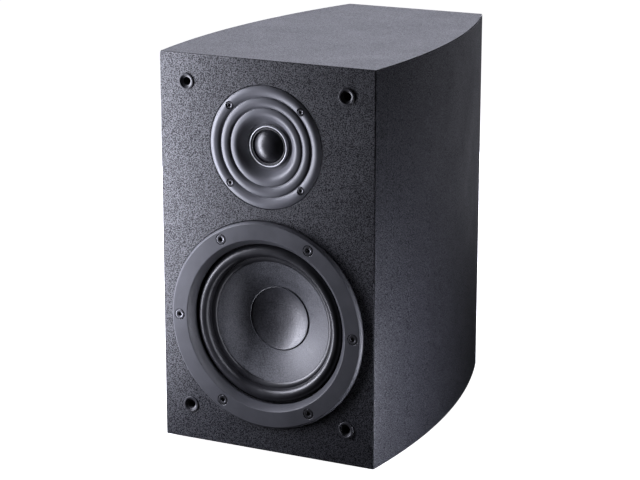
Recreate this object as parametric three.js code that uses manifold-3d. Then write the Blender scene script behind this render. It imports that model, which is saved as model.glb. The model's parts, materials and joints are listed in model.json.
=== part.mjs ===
// A two-way bookshelf speaker with bowed side walls, as separate pieces.
// Millimetres, +Z up. The front looks along -Y, so depth into the cabinet runs along +Y.
// The code works in cabinet coordinates (x = 0 in the middle, y = 0 on the baffle's front face,
// z = 0 under the cabinet). The whole group is moved at the end, so that its origin is the
// middle of the bounding box's bottom face.
import * as THREE from 'three';
import { mergeVertices } from 'three/addons/utils/BufferGeometryUtils.js';
import Module from 'manifold-3d';

const wasm = await Module();
wasm.setup();

// ---- driving dimensions -------------------------------------------------------------------
const HEIGHT = 345; // cabinet, without feet
const DEPTH = 304; // baffle face to the back edges of the walls
const WALL = 15; // side, top and bottom panels
const BAFFLE = 15; // front baffle thickness
const SIDE_RADIUS = 690; // bow of the side walls, seen from above
const SIDE_WIDEST = 106.3; // half width where the bow is widest
const SIDE_WIDEST_Y = 80; // and how far that is behind the baffle face
const REAR_INSET = 1.5; // rear panel sits this far inside the walls' back edges
const REAR_PANEL = 15;
const JOINT_GAP = 0.4; // glue line between panels

const WOOFER_Z = 114.5;
const FLANGE_RADIUS = 92; // woofer basket's flange
const FLANGE_PROUD = 4;
const FLANGE_BACK = 5;
const WOOFER_SCREW_CIRCLE = 83.6;
const WOOFER_SCREWS = 6;

const TWEETER_Z = 270.6;
const FACEPLATE_RADIUS = 53;
const TWEETER_SCREW_CIRCLE = 47.4;
const TWEETER_SCREWS = 4;

const SOCKET_X = 75.7;
const SOCKET_LOW_Z = 31.6;
const SOCKET_HIGH_Z = 320.8;
const SOCKET_TUBE = 6;

const PORT_Z = 262;
const PORT_BORE = 25;
const PORT_WALL = 2.6;
const PORT_FLANGE = 38;
const PORT_HOLE = 31.5; // bored through the rear panel, wide enough for the flare
const PORT_PROUD = 3.5;
const PORT_INNER_END = 190;

const CUP_Z = 115;
const CUP_WIDTH = 92;
const CUP_HEIGHT = 78;
const CUP_RECESS = [66, 48, 22]; // width, height, depth
const POST_X = 14.5;
const KNOB_RADIUS = 7.6;

const FOOT_RADIUS = 9;
const FOOT_HEIGHT = 2.5;
const FOOT_X = 58;
const FOOT_FRONT_Y = 32;
const FOOT_REAR_Y = 272;

const ROUND = 28; // facets of the large round pieces
const SMALL = 16;
const TINY = 8;
const ARC_STEPS = 8; // facets of a bowed wall

const REAR_FACE = DEPTH - REAR_INSET;
const REAR_INNER = REAR_FACE - REAR_PANEL;
const CUP_FLOOR = REAR_FACE - CUP_RECESS[2];

// ---- materials ----------------------------------------------------------------------------
const finish = (color, roughness, metalness = 0) =>
  new THREE.MeshStandardMaterial({ color, roughness, metalness });
const VINYL = finish(0x2b2b30, 0.55);
const MDF = finish(0x9a7b56, 0.9);
const CAST = finish(0x34343a, 0.42, 0.5);
const PLASTIC = finish(0x1c1c1f, 0.45);
const SATIN = finish(0x4a4a52, 0.4, 0.2);
const RUBBER = finish(0x17171a, 0.6);
const PAPER = finish(0x222226, 0.8);
const SILK = finish(0x0d0d10, 0.35);
const BRIGHT = finish(0xc9ccd2, 0.25, 1);
const STEEL = finish(0x8f9398, 0.35, 1);
const BLACK_STEEL = finish(0x2a2a2d, 0.4, 0.8);
const FERRITE = finish(0x3a3a3c, 0.7, 0.1);
const COPPER = finish(0xb06a3a, 0.35, 1);
const BRASS = finish(0xc9a24a, 0.3, 1);
const SPIDER_CLOTH = finish(0xa8752f, 0.9);
const WADDING = finish(0xe6e4dc, 1);
const BOARD = finish(0x24523a, 0.5);
const FILM = finish(0xb8862c, 0.4);
const RED = finish(0xa01818, 0.3);
const BLACK = finish(0x141416, 0.3);
const LEAD = finish(0x6e1d1d, 0.5);

// ---- geometry helpers ---------------------------------------------------------------------
// Merges shared vertices and turns the faces outwards.
function closed(geometry) {
  const bare = geometry.clone();
  bare.deleteAttribute('normal');
  bare.deleteAttribute('uv');
  const merged = mergeVertices(bare, 1e-3);
  const p = merged.getAttribute('position');
  const index = Array.from(merged.index.array);
  const a = new THREE.Vector3();
  const b = new THREE.Vector3();
  const c = new THREE.Vector3();
  const kept = [];
  let volume = 0;
  for (let i = 0; i < index.length; i += 3) {
    const [i0, i1, i2] = index.slice(i, i + 3);
    if (i0 === i1 || i1 === i2 || i0 === i2) continue;
    kept.push(i0, i1, i2);
    a.fromBufferAttribute(p, i0);
    b.fromBufferAttribute(p, i1);
    c.fromBufferAttribute(p, i2);
    volume += a.dot(b.cross(c));
  }
  if (volume < 0) kept.reverse();
  merged.setIndex(kept);
  return merged;
}

// A round piece about the Y axis. The profile holds [radius, depth] points: it starts and ends
// on the axis, or closes on itself.
function lathe(profile, segments = ROUND) {
  const points = profile.map(([r, y]) => new THREE.Vector2(r, y));
  const onAxis = profile[0][0] === 0 && profile[profile.length - 1][0] === 0;
  if (!onAxis) points.push(points[0].clone());
  return closed(new THREE.LatheGeometry(points, segments));
}

const disc = (radius, y0, y1, segments = SMALL) =>
  lathe([[0, y0], [radius, y0], [radius, y1], [0, y1]], segments);

const ring = (inner, outer, y0, y1, segments = ROUND) =>
  lathe([[inner, y0], [outer, y0], [outer, y1], [inner, y1]], segments);

const box = (x0, x1, y0, y1, z0, z1) =>
  closed(new THREE.BoxGeometry(x1 - x0, y1 - y0, z1 - z0)
    .translate((x0 + x1) / 2, (y0 + y1) / 2, (z0 + z1) / 2));

// A flat outline of [x, y] points, raised from z0 to z1.
function slab(outline, z0, z1) {
  const shape = new THREE.Shape(outline.map(([x, y]) => new THREE.Vector2(x, y)));
  const made = new THREE.ExtrudeGeometry(shape, { depth: z1 - z0, bevelEnabled: false });
  return closed(made.translate(0, 0, z0));
}

// A closed body through loops of points with equal counts. The first and last loops are convex.
function loft(loops) {
  const n = loops[0].length;
  const index = [];
  for (let k = 0; k + 1 < loops.length; k++) {
    for (let i = 0; i < n; i++) {
      const j = (i + 1) % n;
      const [a, b, c, d] = [k * n + i, k * n + j, (k + 1) * n + j, (k + 1) * n + i];
      index.push(a, b, c, a, c, d);
    }
  }
  const last = (loops.length - 1) * n;
  for (let i = 1; i + 1 < n; i++) {
    index.push(0, i + 1, i);
    index.push(last, last + i, last + i + 1);
  }
  const made = new THREE.BufferGeometry();
  made.setAttribute('position', new THREE.Float32BufferAttribute(loops.flat(2), 3));
  made.setIndex(index);
  return closed(made);
}

function toSolid(geometry) {
  return new wasm.Manifold(new wasm.Mesh({
    numProp: 3,
    vertProperties: geometry.getAttribute('position').array,
    triVerts: new Uint32Array(geometry.index.array),
  }));
}

function toGeometry(solid) {
  const mesh = solid.getMesh();
  const made = new THREE.BufferGeometry();
  made.setAttribute('position', new THREE.BufferAttribute(mesh.vertProperties, 3));
  made.setIndex(new THREE.BufferAttribute(mesh.triVerts, 1));
  return made;
}

const cut = (base, tools) =>
  toGeometry(tools.reduce((left, tool) => left.subtract(toSolid(tool)), toSolid(base)));

const join = (pieces) =>
  toGeometry(pieces.map(toSolid).reduce((all, piece) => all.add(piece)));

const group = new THREE.Group();

function add(name, geometry, material, [x, y, z] = [0, 0, 0]) {
  const mesh = new THREE.Mesh(geometry, material);
  mesh.name = name;
  mesh.position.set(x, y, z);
  group.add(mesh);
  return mesh;
}

// Places around a circle in the XZ plane, as [x, z].
const around = (count, radius, startDegrees) =>
  Array.from({ length: count }, (_, i) => {
    const angle = THREE.MathUtils.degToRad(startDegrees + (360 / count) * i);
    return [radius * Math.cos(angle), radius * Math.sin(angle)];
  });

// ---- cabinet ------------------------------------------------------------------------------
// Half width of the cabinet at a depth, or of the surface that lies inset inside it.
const sideX = (y, inset = 0) =>
  SIDE_WIDEST - SIDE_RADIUS + Math.sqrt((SIDE_RADIUS - inset) ** 2 - (y - SIDE_WIDEST_Y) ** 2);

// Plan outline between two depths, both walls inset by the same amount.
function plan(y0, y1, inset = 0, steps = ARC_STEPS) {
  const right = [];
  for (let i = 0; i <= steps; i++) {
    const y = y0 + ((y1 - y0) * i) / steps;
    right.push([sideX(y, inset), y]);
  }
  const left = right.map(([x, y]) => [-x, y]).reverse();
  return [...right, ...left];
}

// The panels meet at 45 degree mitres, so a panel's outer face starts further forward than its
// inner face. Both are divided into the same number of steps.
const OUTER_FRONT = JOINT_GAP;
const INNER_FRONT = BAFFLE + JOINT_GAP;

// A bowed wall, mitred into the baffle and into the top and bottom panels.
function sideWall(side) {
  const loops = [];
  for (let i = 0; i <= ARC_STEPS; i++) {
    const yOuter = OUTER_FRONT + ((DEPTH - OUTER_FRONT) * i) / ARC_STEPS;
    const yInner = INNER_FRONT + ((DEPTH - INNER_FRONT) * i) / ARC_STEPS;
    const outer = side * sideX(yOuter);
    const inner = side * sideX(yInner, WALL);
    loops.push([
      [outer, yOuter, JOINT_GAP],
      [outer, yOuter, HEIGHT - JOINT_GAP],
      [inner, yInner, HEIGHT - WALL - JOINT_GAP],
      [inner, yInner, WALL + JOINT_GAP],
    ]);
  }
  return loft(loops);
}

// The top or bottom panel: full plan on its outer face, inset by the mitres on its inner face.
function capPanel(outerZ, innerZ) {
  const outer = plan(OUTER_FRONT, DEPTH).map(([x, y]) => [x, y, outerZ]);
  const inner = plan(INNER_FRONT, DEPTH, WALL).map(([x, y]) => [x, y, innerZ]);
  return loft([outer, inner]);
}

// The baffle's blank: full size on its face, inset by the mitres at its back.
function baffleBlank() {
  const level = (y, halfWidth, inset) => [
    [-halfWidth, y, inset], [halfWidth, y, inset],
    [halfWidth, y, HEIGHT - inset], [-halfWidth, y, HEIGHT - inset],
  ];
  return loft([level(0, sideX(0), 0), level(BAFFLE, sideX(BAFFLE, WALL), WALL)]);
}

function buildBaffle() {
  const tools = [
    disc(FLANGE_RADIUS + 0.5, -1, FLANGE_BACK, ROUND).translate(0, 0, WOOFER_Z),
    disc(78, 0, BAFFLE + 1, ROUND).translate(0, 0, WOOFER_Z),
    disc(FACEPLATE_RADIUS + 0.5, -1, 4, ROUND).translate(0, 0, TWEETER_Z),
    disc(42.5, 0, BAFFLE + 1, ROUND).translate(0, 0, TWEETER_Z),
  ];
  for (const [x, z] of around(WOOFER_SCREWS, WOOFER_SCREW_CIRCLE, 0)) {
    tools.push(disc(2.6, 0, BAFFLE + 1, TINY).translate(x, 0, z + WOOFER_Z));
  }
  for (const [x, z] of around(TWEETER_SCREWS, TWEETER_SCREW_CIRCLE, 45)) {
    tools.push(disc(2, 0, BAFFLE - 2, TINY).translate(x, 0, z + TWEETER_Z));
  }
  for (const [x, z] of socketPlaces()) {
    tools.push(disc(SOCKET_TUBE + 0.3, -1, BAFFLE + 1, SMALL).translate(x, 0, z));
  }
  return cut(baffleBlank(), tools);
}

function socketPlaces() {
  return [SOCKET_HIGH_Z, SOCKET_LOW_Z].flatMap((z) => [[-SOCKET_X, z], [SOCKET_X, z]]);
}

function buildRearPanel() {
  const low = WALL + JOINT_GAP;
  const [cupW, cupH] = CUP_RECESS;
  const blank = slab(plan(REAR_INNER, REAR_FACE, WALL + JOINT_GAP, 2), low, HEIGHT - low);
  const portHole = disc(PORT_HOLE, REAR_INNER - 1, REAR_FACE + 1, ROUND);
  const cupHole = box(-cupW / 2 - 3.4, cupW / 2 + 3.4, REAR_INNER - 1, REAR_FACE + 1,
    CUP_Z - cupH / 2 - 3.4, CUP_Z + cupH / 2 + 3.4);
  const pilots = cupScrewPlaces().map(([x, z]) =>
    disc(1.5, REAR_INNER + 2, REAR_FACE + 1, TINY).translate(x, 0, z));
  return cut(blank, [portHole.translate(0, 0, PORT_Z), cupHole, ...pilots]);
}

function buildCabinet() {
  add('front_baffle', buildBaffle(), VINYL);
  add('left_side_panel', sideWall(-1), VINYL);
  add('right_side_panel', sideWall(1), VINYL);
  add('top_panel', capPanel(HEIGHT, HEIGHT - WALL), VINYL);
  add('bottom_panel', capPanel(0, WALL), VINYL);
  add('rear_panel', buildRearPanel(), VINYL);
  const brace = plan(122, 158, WALL + JOINT_GAP, 2);
  add('cross_brace', slab(brace, 198, 216), MDF);
  const pad = [[-56, 112], [56, 112], [54, 262], [-54, 262]];
  add('damping_pad', slab(pad, WALL + 0.5, WALL + 34), WADDING);
  for (const [end, y] of [['front', FOOT_FRONT_Y], ['rear', FOOT_REAR_Y]]) {
    for (const [side, sign] of [['left', -1], ['right', 1]]) {
      add(`foot_${end}_${side}`, footPad(), RUBBER, [sign * FOOT_X, y, 0]);
    }
  }
}

// A stick-on rubber pad with a chamfered rim, hanging below z = 0.
function footPad() {
  const upright = lathe([
    [0, 0], [FOOT_RADIUS, 0], [FOOT_RADIUS, 1.5], [FOOT_RADIUS - 1, FOOT_HEIGHT],
    [0, FOOT_HEIGHT],
  ], SMALL);
  return upright.rotateX(-Math.PI / 2);
}

// ---- grille sockets -----------------------------------------------------------------------
function buildSockets() {
  const profile = [
    [0, 14.5], [SOCKET_TUBE, 14.5], [SOCKET_TUBE, 0], [7.3, 0], [6.8, -0.9], [6, -0.9],
    [4.4, 1.7], [3.4, 1.8], [3.4, 12.5], [0, 12.5],
  ];
  const names = ['top_left', 'top_right', 'bottom_left', 'bottom_right'];
  socketPlaces().forEach(([x, z], i) => {
    add(`grille_socket_${names[i]}`, lathe(profile, SMALL), RUBBER, [x, 0, z]);
  });
}

// ---- screws -------------------------------------------------------------------------------
// A socket-head screw whose head starts at y = 0 and whose shank points along +Y.
function socketScrew(headRadius, headHeight, shankRadius, length, keyRadius) {
  const blank = lathe([
    [0, 0], [headRadius - 0.5, 0], [headRadius, 0.5], [headRadius, headHeight],
    [shankRadius, headHeight], [shankRadius, length], [0, length],
  ], TINY);
  return cut(blank, [disc(keyRadius, -1, headHeight * 0.7, 6)]);
}

// ---- tweeter ------------------------------------------------------------------------------
const T_FACE_BACK = 9;
const T_TOP_PLATE = 4;
const T_MAGNET = 10;
const T_BACK_PLATE = 5;
const T_MAGNET_RADIUS = 36;
const T_COIL = 13.9;

function buildTweeter() {
  const at = [0, 0, TWEETER_Z];
  const places = around(TWEETER_SCREWS, TWEETER_SCREW_CIRCLE, 45);
  const face = lathe([
    [FACEPLATE_RADIUS, 0.6], [52.2, -0.3], [50.2, -1.3], [48.2, -1.6], [45.6, -1], [43, 0.7],
    [41.6, -0.5], [38.4, -1.1], [35.8, -0.3], [34, 1.3], [32.4, 0.2], [29.3, -0.2], [27, 0.7],
    [23.8, 4], [21.2, 7.3], [18, 7.8], [18, T_FACE_BACK], [41, T_FACE_BACK], [41, 4], [FACEPLATE_RADIUS, 4],
  ]);
  const pockets = places.flatMap(([x, z]) => [
    disc(3.6, -3, 1.2, TINY).translate(x, 0, z),
    disc(2, 0, 5, TINY).translate(x, 0, z),
  ]);
  add('tweeter_faceplate', cut(face, pockets), SATIN, at);
  add('tweeter_trim_ring', lathe([
    [17.8, 8.7], [17.8, 4.9], [17.2, 4.4], [16.6, 4.9], [16.6, 8.7],
  ], SMALL), BRIGHT, at);
  add('tweeter_surround', lathe([
    [16.5, 7.2], [16.5, 6.4], [15.8, 5.4], [14.9, 5.2], [14.25, 6.1], [14.25, 6.6],
    [15, 5.9], [15.8, 6.2],
  ], SMALL), SILK, at);
  const dome = [];
  const thickness = 0.5;
  for (const [edge, rise] of [[14, 5.6], [14 - thickness, 5.1]]) {
    const arc = [0, 0.25, 0.5, 0.75, 1].map((t) => [edge * t, 6.6 - rise * (1 - t ** 2.2)]);
    dome.push(...(rise === 5.6 ? arc : arc.reverse()));
  }
  add('tweeter_dome', lathe(dome, SMALL), SILK, at);
  add('tweeter_voice_coil', ring(T_COIL - 0.5, T_COIL, 6.8, 13.6, SMALL), COPPER, at);
  const y1 = T_FACE_BACK + T_TOP_PLATE;
  const y2 = y1 + T_MAGNET;
  add('tweeter_top_plate', ring(T_COIL + 0.7, T_MAGNET_RADIUS - 2, T_FACE_BACK, y1, SMALL), STEEL, at);
  add('tweeter_magnet', ring(19, T_MAGNET_RADIUS, y1, y2, SMALL), FERRITE, at);
  add('tweeter_back_plate', lathe([
    [0, T_FACE_BACK], [T_COIL - 1.2, T_FACE_BACK], [T_COIL - 1.2, y2], [T_MAGNET_RADIUS - 2, y2],
    [T_MAGNET_RADIUS - 2, y2 + T_BACK_PLATE], [0, y2 + T_BACK_PLATE],
  ], SMALL), STEEL, at);
  places.forEach(([x, z], i) => {
    const screw = socketScrew(3.1, 1.6, 1.7, 13, 1.5);
    add(`tweeter_screw_${i + 1}`, screw, BLACK_STEEL, [x, -0.6, z + TWEETER_Z]);
  });
}

// ---- woofer -------------------------------------------------------------------------------
const BEVEL_FRONT = 76.6; // flange's inner edge, on its face
const BEVEL_BACK = 71.6;
const BEVEL_DEPTH = 2.6; // of its back edge, behind the baffle face
const SHELF_Y = 10; // the surround's outer lip sits here
const ROLL_Y = SHELF_Y - 1.5;
const ROLL_OUTER = 70.4;
const ROLL_INNER = 58.6;
const CONE_EDGE = 57.8;
const CAP_RADIUS = 28.6;
const CAP_EDGE_Y = 24.2;
const CAP_CENTRE_Y = 31.2;
const NECK_RADIUS = 13.5;
const NECK_Y = 34;
const SPIDER_Y = 38;
const BASKET_END = 56;
const TOP_PLATE = 6;
const MAGNET = 17;
const BACK_PLATE = 6;
const MAGNET_RADIUS = 45;
const BASKET_WINDOWS = 8;

// Depth of the cone's front surface at a radius: steeper towards the neck.
const coneY = (r) => {
  const t = (CONE_EDGE - r) / (CONE_EDGE - NECK_RADIUS);
  return SHELF_Y - 0.4 + (NECK_Y - SHELF_Y + 0.4) * (0.72 * t + 0.28 * t * t);
};

function buildBasket(places) {
  const body = lathe([
    [FLANGE_RADIUS - 2, -FLANGE_PROUD], [FLANGE_RADIUS, 2.3 - FLANGE_PROUD],
    [FLANGE_RADIUS, FLANGE_BACK], [75.6, FLANGE_BACK], [74, 17], [52, 41], [46.5, 46],
    [44, BASKET_END], [22, BASKET_END], [22, 52.5], [41, 52.5], [41, SPIDER_Y], [47, SPIDER_Y],
    [66.5, 17], [67.5, SHELF_Y], [BEVEL_BACK, SHELF_Y], [BEVEL_BACK, BEVEL_DEPTH],
    [BEVEL_FRONT, -FLANGE_PROUD],
  ]);
  const windows = around(BASKET_WINDOWS, 1, 360 / BASKET_WINDOWS / 2).map(([x, z]) => {
    const tool = box(-15.5, 15.5, 20, 36, 36, 90);
    return tool.rotateY(Math.atan2(x, z));
  });
  const holes = places.flatMap(([x, z]) => [
    disc(4.8, -FLANGE_PROUD - 1, -0.8, TINY).translate(x, 0, z),
    disc(2.7, -FLANGE_PROUD, FLANGE_BACK + 1, TINY).translate(x, 0, z),
  ]);
  return cut(body, [...windows, ...holes]);
}

// A thin round shell between a front surface and the same surface moved back.
function shell(front, thickness, segments = ROUND) {
  const back = front.map(([r, y]) => [r, y + thickness]).reverse();
  return lathe([...front, ...back], segments);
}

function buildWoofer() {
  const at = [0, 0, WOOFER_Z];
  const places = around(WOOFER_SCREWS, WOOFER_SCREW_CIRCLE, 0);
  add('woofer_basket', buildBasket(places), CAST, at);

  const roll = [[BEVEL_BACK - 0.4, ROLL_Y], [ROLL_OUTER, ROLL_Y]];
  const rollMiddle = (ROLL_OUTER + ROLL_INNER) / 2;
  const rollRadius = (ROLL_OUTER - ROLL_INNER) / 2;
  for (const degrees of [45, 90, 135]) {
    const a = THREE.MathUtils.degToRad(degrees);
    const rise = rollRadius * Math.sin(a);
    roll.push([rollMiddle + rollRadius * Math.cos(a), ROLL_Y - rise]);
  }
  roll.push([ROLL_INNER, SHELF_Y - 2.1], [54, coneY(54) - 1.3]);
  add('woofer_surround', shell(roll, 1.1), RUBBER, at);

  const cone = [CONE_EDGE, 47, 35, 24, NECK_RADIUS].map((r) => [r, coneY(r)]);
  add('woofer_cone', shell(cone, 0.9), PAPER, at);
  const cap = [1, 0.75, 0.4, 0].map((t) =>
    [CAP_RADIUS * t, CAP_CENTRE_Y - (CAP_CENTRE_Y - CAP_EDGE_Y) * t * t]);
  const capEdge = coneY(CAP_RADIUS) - 0.35;
  const capFront = cap.map(([r, y]) => [r, y - (CAP_EDGE_Y - capEdge) - 0.9]);
  const capBack = capFront.map(([r, y]) => [r, y + 0.8]).reverse();
  add('woofer_dust_cap', lathe([...capBack, ...capFront], SMALL), PAPER, at);
  add('woofer_voice_coil', ring(12.6, 13.2, NECK_Y - 0.5, 70, SMALL), COPPER, at);

  const spider = [];
  for (let i = 0; i <= 6; i++) {
    const r = 13.6 + ((46.4 - 13.6) * i) / 6;
    spider.push([r, SPIDER_Y - 1.4 + (i === 0 || i === 6 ? 0 : i % 2 ? -1.1 : 0.6)]);
  }
  add('woofer_spider', shell(spider.reverse(), 0.7, SMALL), SPIDER_CLOTH, at);

  const y1 = BASKET_END + TOP_PLATE;
  const y2 = y1 + MAGNET;
  const y3 = y2 + BACK_PLATE;
  add('woofer_top_plate', ring(14.4, MAGNET_RADIUS - 2, BASKET_END, y1, SMALL), STEEL, at);
  add('woofer_magnet', ring(21, MAGNET_RADIUS, y1, y2, ROUND), FERRITE, at);
  add('woofer_back_plate', lathe([
    [0, BASKET_END], [11.8, BASKET_END], [11.8, y2], [MAGNET_RADIUS - 2, y2],
    [MAGNET_RADIUS - 2, y3 - 2], [MAGNET_RADIUS - 4, y3], [0, y3],
  ], SMALL), STEEL, at);
  places.forEach(([x, z], i) => {
    const screw = socketScrew(4.4, 3, 2.4, 26, 2.3);
    add(`woofer_screw_${i + 1}`, screw, BLACK_STEEL, [x, -FLANGE_PROUD + 0.1, z + WOOFER_Z]);
  });
}

// ---- rear: port and terminals -------------------------------------------------------------
function buildPort() {
  const outer = PORT_BORE + PORT_WALL;
  const end = PORT_INNER_END;
  const lip = REAR_FACE + PORT_PROUD;
  add('bass_reflex_port', lathe([
    [PORT_FLANGE, REAR_FACE], [PORT_FLANGE, lip - 1.6], [PORT_FLANGE - 1.4, lip],
    [PORT_FLANGE - 4, lip], [PORT_HOLE - 1, lip - 2], [PORT_BORE + 2.6, lip - 6.5],
    [PORT_BORE + 0.8, lip - 12], [PORT_BORE, lip - 19], [PORT_BORE, end + 7],
    [PORT_BORE + 2, end + 2], [outer + 2, end], [outer + 2.6, end + 1], [outer, end + 8],
    [outer, REAR_FACE - 17], [PORT_HOLE - 0.5, REAR_FACE - 3], [PORT_HOLE - 0.5, REAR_FACE],
  ]), PLASTIC, [0, 0, PORT_Z]);
}

function cupScrewPlaces() {
  const x = CUP_WIDTH / 2 - 6;
  const z = CUP_HEIGHT / 2 - 6;
  return [[-x, z], [x, z], [-x, -z], [x, -z]].map(([px, pz]) => [px, CUP_Z + pz]);
}

function roundedRectangle(width, height, radius) {
  const shape = new THREE.Shape();
  const [x, z] = [width / 2, height / 2];
  shape.moveTo(x, -z + radius);
  shape.lineTo(x, z - radius);
  shape.absarc(x - radius, z - radius, radius, 0, Math.PI / 2);
  shape.lineTo(-x + radius, z);
  shape.absarc(-x + radius, z - radius, radius, Math.PI / 2, Math.PI);
  shape.lineTo(-x, -z + radius);
  shape.absarc(-x + radius, -z + radius, radius, Math.PI, Math.PI * 1.5);
  shape.lineTo(x - radius, -z);
  shape.absarc(x - radius, -z + radius, radius, Math.PI * 1.5, Math.PI * 2);
  return shape;
}

// A rounded rectangle seen from behind, between two depths.
function plate(width, height, radius, y0, y1) {
  const made = new THREE.ExtrudeGeometry(roundedRectangle(width, height, radius), {
    depth: y1 - y0, bevelEnabled: false, curveSegments: 4,
  });
  return closed(made.rotateX(Math.PI / 2).translate(0, y1, 0));
}

const PLATE_PROUD = 2.5;
const CUP_WALL = 3;
const STUD_RADIUS = 3;
const STUD_BORE = 2.05; // takes a 4 mm plug
const STUD_END = REAR_FACE + 0.5;
const BOARD_Y = CUP_FLOOR - CUP_WALL - 9;
const BOARD_THICKNESS = 1.6;
const COLLAR_Y = CUP_FLOOR + 2.4;
const COLLAR = 2.4;
const KNOB_Y = COLLAR_Y + COLLAR + 0.3;
const KNOB_END = REAR_FACE + 2.5;

function buildTerminals() {
  const [w, h] = CUP_RECESS;
  const back = CUP_FLOOR - CUP_WALL;
  const blank = join([
    plate(CUP_WIDTH, CUP_HEIGHT, 5, REAR_FACE, REAR_FACE + PLATE_PROUD),
    plate(w + 6, h + 6, 4, back, REAR_FACE + 1),
  ]);
  const tools = [
    plate(w, h, 3, CUP_FLOOR, REAR_FACE + PLATE_PROUD + 1),
    ...[-1, 1].map((s) => disc(STUD_RADIUS + 0.2, back - 1, CUP_FLOOR + 1, TINY)
      .translate(s * POST_X, 0, 0)),
    ...cupScrewPlaces().flatMap(([x, z]) => [
      disc(1.8, REAR_FACE - 1, REAR_FACE + PLATE_PROUD + 1, TINY).translate(x, 0, z - CUP_Z),
      disc(3.4, REAR_FACE + 1.2, REAR_FACE + PLATE_PROUD + 1, TINY).translate(x, 0, z - CUP_Z),
    ]),
  ];
  add('terminal_cup', cut(blank, tools), PLASTIC, [0, 0, CUP_Z]);
  for (const [side, sign, colour] of [['red', -1, RED], ['black', 1, BLACK]]) {
    const at = [sign * POST_X, 0, CUP_Z];
    const stud = lathe([
      [0, BOARD_Y - 3], [STUD_RADIUS, BOARD_Y - 3], [STUD_RADIUS, CUP_FLOOR], [6.2, CUP_FLOOR],
      [6.2, CUP_FLOOR + 2], [STUD_RADIUS, CUP_FLOOR + 2], [STUD_RADIUS, STUD_END],
      [STUD_BORE, STUD_END], [STUD_BORE, CUP_FLOOR + 6], [0, CUP_FLOOR + 6],
    ], TINY);
    add(`binding_stud_${side}`, stud, BRASS, at);
    add(`binding_collar_${side}`,
      ring(STUD_RADIUS + 0.3, 6.4, COLLAR_Y, COLLAR_Y + COLLAR, SMALL), BRASS, at);
    add(`binding_knob_${side}`, buildKnob(), colour, at);
  }
  cupScrewPlaces().forEach(([x, z], i) => {
    const screw = socketScrew(3, 1.6, 1.4, 13, 1.3).rotateX(Math.PI);
    add(`terminal_screw_${i + 1}`, screw, BLACK_STEEL, [x, REAR_FACE + PLATE_PROUD + 0.4, z]);
  });
}

// A thumb nut with finger flutes, bored right through for the stud and the plug.
function buildKnob() {
  const bore = STUD_RADIUS + 0.3;
  const blank = lathe([
    [bore, KNOB_Y], [KNOB_RADIUS - 0.8, KNOB_Y], [KNOB_RADIUS, KNOB_Y + 1],
    [KNOB_RADIUS, KNOB_END - 1.2], [KNOB_RADIUS - 1.2, KNOB_END], [bore, KNOB_END],
  ], SMALL);
  const flutes = around(6, KNOB_RADIUS + 1.3, 30).map(([x, z]) =>
    disc(2, KNOB_Y - 1, KNOB_END - 3, 8).translate(x, 0, z));
  return cut(blank, flutes);
}

// ---- crossover and leads ------------------------------------------------------------------
const ALONG_X = Math.PI / 2;

function buildCrossover() {
  const holes = [-1, 1].map((s) =>
    disc(STUD_RADIUS + 0.3, BOARD_Y - 1, BOARD_Y + 5, TINY).translate(s * POST_X, 0, 0));
  const board = box(-40, 40, BOARD_Y, BOARD_Y + BOARD_THICKNESS, -34, 34);
  add('crossover_board', cut(board, holes), BOARD, [0, 0, CUP_Z]);
  const coil = ring(7, 15, BOARD_Y - 16.3, BOARD_Y - JOINT_GAP, SMALL);
  add('crossover_inductor', coil, COPPER, [-22, 0, CUP_Z + 17]);
  const can = disc(8, -15, 15, SMALL).rotateZ(ALONG_X);
  add('crossover_capacitor', can, FILM, [16, BOARD_Y - 8 - JOINT_GAP, CUP_Z - 20]);
}

// A two-core lead of round section along a hand-routed path.
function lead(points) {
  const path = new THREE.CatmullRomCurve3(points.map((p) => new THREE.Vector3(...p)));
  const section = new THREE.Shape().absarc(0, 0, 1.7, 0, Math.PI * 2);
  return closed(new THREE.ExtrudeGeometry(section, {
    steps: 16, curveSegments: 3, extrudePath: path, bevelEnabled: false,
  }));
}

function buildLeads() {
  add('tweeter_lead', lead([
    [32, BOARD_Y - 2.5, 136], [34, 238, 150], [37, 202, 182], [37, 176, 214], [34, 130, 236],
    [28, 80, 250], [22, 50, 262], [18, 32, 270.6],
  ]), LEAD);
  add('woofer_lead', lead([
    [-30, BOARD_Y - 2.5, 96], [-34, 228, 88], [-42, 180, 82], [-50, 130, 84], [-54, 90, 92],
    [-55, 66, 100], [-52, 50, 106],
  ]), LEAD);
}

buildCabinet();
buildSockets();
buildTweeter();
buildWoofer();
buildPort();
buildTerminals();
buildCrossover();
buildLeads();

// The origin is the middle of the bounding box's bottom face.
const frontmost = -FLANGE_PROUD;
const rearmost = REAR_FACE + PORT_PROUD;
group.position.set(0, -(frontmost + rearmost) / 2, FOOT_HEIGHT);

export default group;
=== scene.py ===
"""A two-way bookshelf speaker with bowed side walls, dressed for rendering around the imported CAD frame.

Shapes are written in millimetres in cabinet coordinates, as in the part's source: x = 0 in the middle,
y = 0 on the baffle's face with the depth along +Y, and z = 0 under the cabinet.
"""
import json
import math
import random

import bmesh
import bpy
from mathutils import Matrix, Vector
from mathutils.geometry import delaunay_2d_cdt


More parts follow.
